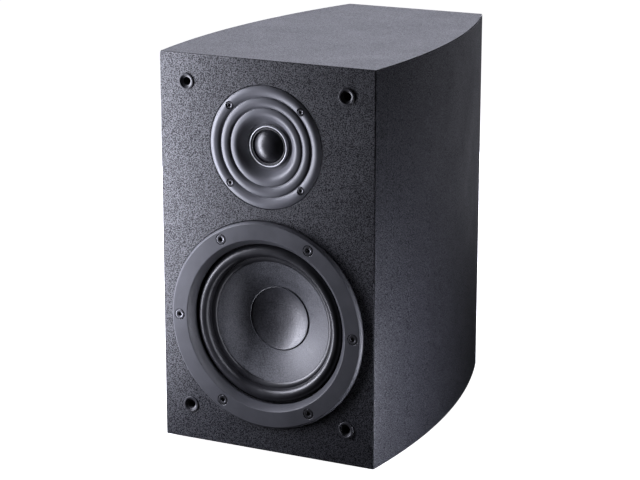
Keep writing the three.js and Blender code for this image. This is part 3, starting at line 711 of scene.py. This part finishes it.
def cut(obj, tool_mesh):
    """Cuts closed tool shapes, in cabinet millimetres, out of a piece."""
    bmesh.ops.recalc_face_normals(tool_mesh, faces=tool_mesh.faces)
    for v in tool_mesh.verts:
        v.co = to_row(*v.co)
    mesh = bpy.data.meshes.new("cutter")
    tool_mesh.to_mesh(mesh)
    tool_mesh.free()
    tool = bpy.data.objects.new("cutter", mesh)
    bpy.context.scene.collection.objects.link(tool)
    modifier = obj.modifiers.new("cut", "BOOLEAN")
    modifier.operation = "DIFFERENCE"
    modifier.solver = "EXACT"
    modifier.object = tool
    bpy.context.view_layer.update()
    result = bpy.data.meshes.new_from_object(obj.evaluated_get(bpy.context.evaluated_depsgraph_get()))
    obj.modifiers.remove(modifier)
    old = obj.data
    obj.data = result
    bpy.data.meshes.remove(old)
    bpy.data.objects.remove(tool)
    bpy.data.meshes.remove(mesh)
    result.polygons.foreach_set("use_smooth", [True] * len(result.polygons))
    result.set_sharp_from_angle(angle=math.radians(38))


def soft_ring(obj):
    """A ring left on no body: its placement is baked into its mesh."""
    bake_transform(obj)


# ---- woofer ---------------------------------------------------------------------------------
SHELF_Y = 10.0
ROLL_Y = 8.5
CONE_EDGE = 57.8
NECK_RADIUS = 13.5
NECK_Y = 34.0


def cone_y(r):
    """y of the cone's front face: it gets steeper towards the neck."""
    t = (CONE_EDGE - r) / (CONE_EDGE - NECK_RADIUS)
    return SHELF_Y - 0.4 + (NECK_Y - SHELF_Y + 0.4) * (0.72 * t + 0.28 * t * t)


def build_basket():
    """The cast frame: a flat flange with bevels, a shelf for the surround, and eight windows."""
    rim, face = FLANGE_RADIUS, FLANGE_FRONT
    outer_edge = [[rim - 2.4, face], [rim - 2.05, face], [rim - 1.85, face + 0.06], [rim - 1.6, face + 0.28],
                  [rim - 0.25, face + 1.8], [rim - 0.07, face + 2.1], [rim, face + 2.5], [rim, 5]]
    outside = [[75.6, 5], [74, 17], [52, 41], [46.5, 46], [44, 56], [22, 56]]
    inside_wall = [[22, 52.5], [41, 52.5], [41, 38], [47, 38], [66.5, 17], [67.5, SHELF_Y], [72.7, SHELF_Y]]
    inner_edge = [[72.9, 9.6], [71.5, 2.7], [71.55, 2.3], [76.1, face + 0.4], [76.3, face + 0.12],
                  [76.6, face], [77.0, face]]
    profile = outer_edge + outside + inside_wall + inner_edge
    bm = bmesh.new()
    spin(bm, profile, WOOFER, 224, closed=True)
    basket = finish_mesh("vis_woofer_basket", bm, "cast_frame", CABINET, ["woofer_basket"], sharp=30)
    tools = bmesh.new()
    pocket = [[0, -6], [5.3, -6], [5.3, face - 0.25], [4.75, face + 0.3], [4.75, -0.8], [2.7, -0.8], [2.7, 7],
              [0, 7]]
    for i in range(1, 7):
        spin(tools, pocket, centre_of(f"woofer_screw_{i}"), 64)
    windows = 8
    for i in range(windows):
        a = 2 * math.pi * (i + 0.5) / windows
        bmesh.ops.create_cube(tools, size=1.0, matrix=Matrix.Translation((WOOFER[0], 0, WOOFER[1]))
                              @ Matrix.Rotation(a, 4, "Y") @ Matrix.Translation((63, 28, 0))
                              @ Matrix.Diagonal((54, 16, 31, 1)))
    cut(basket, tools)


def half_roll(middle, radius, base, steps=16):
    """The arch of a rubber surround, from its outer foot over to its inner one."""
    line = []
    for s in range(steps + 1):
        a = math.pi * s / steps
        line.append([middle + radius * math.cos(a), base - 1.12 * radius * math.sin(a)])
    return line


def build_woofer_surround():
    middle, radius, thickness = 64.5, 5.9, 0.9
    front = [[72.5, ROLL_Y + 0.2], [72.1, ROLL_Y], [71.0, ROLL_Y]]
    front += half_roll(middle, radius, ROLL_Y)
    front += [[58.2, ROLL_Y - 0.1], [56.0, cone_y(56.0) - 1.3], [54.4, cone_y(54.4) - 1.15],
              [54.05, cone_y(54.05) - 0.8]]
    back = [[54.05, cone_y(54.05) - 0.25], [56.2, cone_y(56.2) - 0.3], [58.9, 9.35]]
    back += reversed(half_roll(middle, radius - thickness, ROLL_Y + thickness))
    back += [[71.0, 9.6], [72.5, 9.6]]
    surround = lathe("vis_woofer_surround", front + back, WOOFER, "surround_rubber", None,
                     ["woofer_surround"], segments=224, closed=True)
    soft_ring(surround)


def build_woofer_cone():
    steps, thickness = 40, 0.9
    radii = [CONE_EDGE + (NECK_RADIUS - CONE_EDGE) * s / steps for s in range(steps + 1)]
    front = [[r, cone_y(r)] for r in radii]
    back = [[r, cone_y(r) + thickness] for r in reversed(radii)]
    lathe("vis_woofer_cone", front + back, WOOFER, "cone_paper", "woofer_motor", ["woofer_cone"],
          segments=192, closed=True)


def build_woofer_dust_cap():
    """A dished cap with a rolled rim that stands a little proud of the cone."""
    edge, depth, power, steps = 28.6, 7.5, 2.3, 24
    edge_y = cone_y(edge) - 0.35

    def dish(t, lift):
        return [edge * t, edge_y - lift + depth * (1 - t ** power)]

    front = [dish(s / steps, 0.9) for s in range(steps)]
    front += [[27.9, edge_y - 0.75], [28.5, edge_y - 0.45], [28.7, edge_y - 0.1]]
    back = [[28.2, edge_y + 0.1], *[dish(t, 0.0) for t in (0.875, 0.75, 0.5, 0.25, 0.0)]]
    lathe("vis_woofer_dust_cap", front + back, WOOFER, "cap_paper", "woofer_motor", ["woofer_dust_cap"],
          segments=160)


def build_woofer_spider():
    """The corrugated cloth ring that centres the coil."""
    outer, inner, thickness, steps, waves = 46.4, 13.6, 0.7, 60, 7
    front = depth_of("woofer_spider")[0]
    corrugated = []
    for s in range(steps + 1):
        t = s / steps
        fade = min(1, 8 * t, 8 * (1 - t))
        corrugated.append([outer - (outer - inner) * t,
                           front + 1.2 - 0.9 * fade * math.sin(t * 2 * math.pi * waves)])
    back = [[r, y + thickness] for r, y in reversed(corrugated)]
    spider = lathe("vis_woofer_spider", corrugated + back, WOOFER, "spider_cloth", None, ["woofer_spider"],
                   segments=96, closed=True)
    soft_ring(spider)


# ---- rear -----------------------------------------------------------------------------------
def build_port():
    """The reflex tube: a flared mouth with a flat collar on the rear panel, and a small flare inside."""
    lip = REAR_FACE + 3.5
    end = 190.0
    mouth = [[38, REAR_FACE], [38, lip - 1.9], *arc((36.4, lip - 1.6), 1.6, 0, 90, 6)]
    mouth += curve([[34.4, lip], [32.6, lip - 0.5], [30.2, lip - 2.1], [27.7, lip - 6.3], [26.0, lip - 12],
                    [25.1, lip - 19], [25, lip - 26]], 5)
    mouth += curve([[25, end + 9], [25.4, end + 5], [26.8, end + 1.6], [28.6, end]], 4)
    mouth += arc((29.2, end + 1.0), 1.0, -90, 60, 5)
    mouth += [[27.6, end + 8], [27.6, REAR_FACE - 17], [31.0, REAR_FACE - 3], [31.0, REAR_FACE]]
    lathe("vis_bass_reflex_port", mouth, PORT, "moulded_plastic", CABINET, ["bass_reflex_port"],
          segments=144, closed=True)


def build_cup():
    """The terminal cup: a rounded plate with a soft edge, a dished recess with sloped walls, and its back."""
    width, height = 92.0, 78.0
    back_width, back_height = 72.0, 54.0
    back_y = CUP_FLOOR - 3.0
    bm = bmesh.new()

    def loop(w, h, radius, y):
        return at_depth(rectangle(-w / 2, w / 2, CUP[1] - h / 2, CUP[1] + h / 2, radius, 8), y)

    def flat(points):
        return [(x, z) for x, _, z in points]

    screws = [centre_of(f"terminal_screw_{i}") for i in range(1, 5)]
    screw_mouths = [circle(p, 3.9, 48) for p in screws]
    mouth = loop(66.8, 48.8, 3.6, CUP_FACE)
    plate = loop(width - 1.8, height - 1.8, 4.2, CUP_FACE)
    face = fill(bm, flat(plate), [flat(mouth), *screw_mouths], CUP_FACE)
    stack(bm, face[0], [loop(width - 0.6, height - 0.6, 4.8, CUP_FACE - 0.3),
                        loop(width, height, 5.0, CUP_FACE - 1.0),
                        loop(width, height, 5.0, REAR_FACE),
                        loop(back_width, back_height, 4.0, REAR_FACE),
                        loop(back_width, back_height, 4.0, back_y)])
    for ring, place in zip(face[2:], screws):
        stack(bm, ring, [at_depth(circle(place, 3.5, 48), CUP_FACE - 0.4),
                         at_depth(circle(place, 3.5, 48), CUP_FACE - 1.3),
                         at_depth(circle(place, 1.8, 48), CUP_FACE - 1.3),
                         at_depth(circle(place, 1.8, 48), REAR_FACE)])
    post_holes = [circle(centre_of("binding_stud_" + colour), 3.2, 48) for colour in ("red", "black")]
    inner = loop(62.0, 44.0, 6.0, CUP_FLOOR)
    fill(bm, flat(inner), post_holes, CUP_FLOOR)
    stack(bm, face[1], [loop(66.2, 48.2, 3.2, CUP_FACE - 0.5), loop(65.6, 47.6, 3.0, CUP_FACE - 2),
                        loop(64.2, 46.2, 4.0, CUP_FLOOR + 2.0), loop(63.2, 45.2, 5.0, CUP_FLOOR + 0.6),
                        inner])
    back = fill(bm, flat(loop(back_width, back_height, 4.0, back_y)), post_holes, back_y)
    for ring, hole in zip(back[1:], post_holes):
        stack(bm, ring, [at_depth(hole, CUP_FLOOR)])
    finish_mesh("vis_terminal_cup", bm, "moulded_plastic", CABINET, ["terminal_cup"], weighted=True)


def stud(node):
    """A threaded brass stud with a nut against the cup's floor, bored at its end for a 4 mm plug."""
    start, end = depth_of(node)
    nut = CUP_FLOOR
    profile = [[0, start], [2.6, start], [3.0, start + 0.4], [3.0, nut - 0.2], [3.0, nut],
               [6.0, nut + 0.05], [6.2, nut + 0.3], [6.2, nut + 1.7], [6.0, nut + 2.0], [3.0, nut + 2.0]]
    y = nut + 2.4
    while y < end - 1.4:
        profile += [[2.72, y], [3.0, y + 0.4 * THREAD_PITCH], [3.0, y + 0.6 * THREAD_PITCH]]
        y += THREAD_PITCH
    profile += [[2.95, end - 0.4], [2.7, end], [2.25, end], [2.05, end - 0.3], [2.05, nut + 6.2],
                [0, nut + 6]]
    lathe("vis_" + node, profile, centre_of(node), "terminal_brass", CABINET, [node], segments=48, sharp=25)


def collar(node, body):
    """A plain washer with broken edges."""
    start, end = depth_of(node)
    profile = [[3.3, start + 0.2], [3.5, start], [6.1, start], [6.4, start + 0.3], [6.4, end - 0.3],
               [6.1, end], [3.5, end], [3.3, end - 0.2]]
    lathe("vis_" + node, profile, centre_of(node), "terminal_brass", body, [node], segments=72, closed=True)


def knob(colour):
    """A thumb nut: fluted grip, smooth waist and rim, bored through for the stud and the plug."""
    node = "binding_knob_" + colour
    x, z = centre_of("binding_stud_" + colour)
    start, end = depth_of(node)
    radius = radius_of(node)
    n = 96
    flutes = 6
    bm = bmesh.new()

    def ring(r, y, flute):
        points = []
        for i in range(n):
            a = 2 * math.pi * i / n
            depth = flute * max(0.0, math.cos(flutes * (a - math.radians(30)))) ** 1.5
            points.append((x + (r - depth) * math.cos(a), y, z + (r - depth) * math.sin(a)))
        return points

    shape = [  # radius, y and depth of the flutes
        (3.3, start + 0.3, 0), (3.6, start, 0), (radius - 1.2, start, 0), (radius - 0.4, start + 0.25, 0.4),
        (radius, start + 0.9, 0.9), (radius, start + 2.2, 1.0), (radius, end - 4.6, 1.0),
        (radius, end - 3.6, 0.6), (radius - 0.05, end - 3.0, 0), (radius, end - 2.6, 0),
        (radius, end - 1.3, 0), (radius - 0.35, end - 0.5, 0), (radius - 1.3, end, 0), (3.8, end, 0),
        (3.45, end - 0.25, 0), (3.3, end - 0.8, 0)]
    rings = [[bm.verts.new(p) for p in ring(*step)] for step in shape]
    for a, b in zip(rings, rings[1:] + rings[:1]):
        bridge(bm, a, b)
    finish_mesh("vis_" + node, bm, "knob_" + colour, colour + "_knob", [node], sharp=42)


def build_posts():
    for colour in ("red", "black"):
        stud("binding_stud_" + colour)
        collar("binding_collar_" + colour, colour + "_collar")
        knob(colour)


def build_pad():
    """The wadding: a crowned block that bulges between its corners, with a lumpy, felted skin."""
    low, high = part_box("damping_pad")
    size = Vector(high) - Vector(low)
    centre = (Vector(high) + Vector(low)) / 2
    bm = bmesh.new()
    bmesh.ops.create_cube(bm, size=2.0)
    bmesh.ops.subdivide_edges(bm, edges=bm.edges, cuts=22, use_grid_fill=True)
    for v in bm.verts:
        p = v.co.copy()
        pull = [1 - 0.10 * (p[(k + 1) % 3] ** 4 + p[(k + 2) % 3] ** 4) for k in range(3)]
        waves = (9 * p.x + 2 * p.y, 11 * p.y - 3 * p.z, 13 * p.z + 4 * p.x)
        lump = 0.014 * sum(math.sin(w) for w in waves)
        scale = 0.965 + lump + random.uniform(-0.004, 0.004)
        v.co = Vector((centre[k] + p[k] * pull[k] * scale * size[k] / 2 for k in range(3)))
        v.co.z = max(v.co.z, low[2] + 0.0002)
    bmesh.ops.recalc_face_normals(bm, faces=bm.faces)
    mesh = bpy.data.meshes.new("vis_damping_pad")
    bm.to_mesh(mesh)
    bm.free()
    mesh.polygons.foreach_set("use_smooth", [True] * len(mesh.polygons))
    mesh.materials.append(MATERIALS["wadding"])
    pad = bpy.data.objects.new("vis_damping_pad", mesh)
    bpy.context.scene.collection.objects.link(pad)
    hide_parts("damping_pad")
    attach(pad, CABINET)


build_baffle()
build_panels()
build_rear_panel()
build_feet()
build_sockets()
build_tweeter()
build_basket()
build_woofer_surround()
build_woofer_cone()
build_woofer_dust_cap()
build_woofer_spider()
build_screws()
build_port()
build_cup()
build_posts()
build_pad()


# ---- stage, light and camera ----------------------------------------------------------------
LIGHT_COLOUR = (0.86, 0.87, 1.0)


def area_light(name, position, target, width, height, power):
    """A soft rectangular light, unseen by the camera. Places are in cabinet millimetres, sizes in metres."""
    data = bpy.data.lights.new(name, "AREA")
    data.shape = "RECTANGLE"
    data.size, data.size_y = width, height
    data.energy = power
    data.color = LIGHT_COLOUR
    light = bpy.data.objects.new(name, data)
    bpy.context.scene.collection.objects.link(light)
    light.location = to_row(*position)
    light.rotation_euler = (to_row(*target) - to_row(*position)).to_track_quat("-Z", "Y").to_euler()
    light.visible_camera = False


def build_floor():
    reach = 6.0
    corners = [(-reach, -reach, 0), (reach, -reach, 0), (reach, reach, 0), (-reach, reach, 0)]
    mesh = bpy.data.meshes.new("floor")
    mesh.from_pydata(corners, [], [(0, 1, 2, 3)])
    floor = bpy.data.objects.new("floor", mesh)
    bpy.context.scene.collection.objects.link(floor)
    m, _, shader = new_material("pale_floor")
    set_inputs(shader, Base_Color=(0.9, 0.9, 0.91, 1), Roughness=0.85, Specular_IOR_Level=0.1,
               Emission_Color=(1, 1, 1, 1), Emission_Strength=1.0)
    mesh.materials.append(m)
    floor.location.z = -0.0002  # just under the feet
    floor.visible_glossy = False
    floor.visible_diffuse = False


def build_world():
    """White where the camera sees it, and nearly dark as a source of light."""
    world = bpy.data.worlds.new("studio")
    bpy.context.scene.world = world
    world.use_nodes = True
    tree = world.node_tree
    background = tree.nodes["Background"]
    background.inputs["Color"].default_value = (1, 1, 1, 1)
    light_path = tree.nodes.new("ShaderNodeLightPath")
    strength = spread(tree, light_path.outputs["Is Camera Ray"], 0.015, 1.0, 0.0, 1.0)
    tree.links.new(strength, background.inputs["Strength"])


def build_lights():
    # The front is lit from close on its left, so that the light falls off across it.
    area_light("key", (-232, -92, 266), (-60, 0, 254), 0.1, 0.3, 1.85)
    area_light("low_key", (-232, -92, 64), (-60, 0, 70), 0.08, 0.16, 0.7)
    # The top is lit from behind and from above.
    area_light("back", (-350, 1200, 900), (0, 150, 345), 1.6, 0.9, 6.5)
    area_light("overhead", (0, 200, 1100), (0, 150, 300), 0.16, 0.3, 11.0)
    # The right side is lit from close beside it.
    area_light("side", (300, 30, 5), (105, 40, 50), 0.1, 0.1, 1.25)
    area_light("edge", (230, -8, 70), (105, 15, 90), 0.04, 0.3, 0.36)
    # A small light just in front of the woofer is turned to its left.
    area_light("cone", (-27, -13, 108), (-60, -13, 108), 0.01, 0.05, 0.0115)
    # The back is lit from both sides.
    area_light("rear", (300, 1300, 60), (70, 200, 150), 1.0, 0.4, 0.4)
    area_light("rear_left", (-550, 1000, 170), (0, 300, 170), 0.6, 0.3, 8.0)


def build_camera():
    tilt_down, turn = 15.04, 26.59
    data = bpy.data.cameras.new("camera")
    data.sensor_width = 36.0
    data.lens = 123.94125
    data.clip_start, data.clip_end = 0.05, 50
    camera = bpy.data.objects.new("camera", data)
    bpy.context.scene.collection.objects.link(camera)
    camera.location = to_row(848.8, -1593.6, 675.5)
    camera.rotation_euler = (math.radians(90 - tilt_down), 0, math.radians(turn))
    bpy.context.scene.camera = camera
    bpy.context.scene.view_settings.view_transform = "Standard"


build_floor()
build_world()
build_lights()
build_camera()
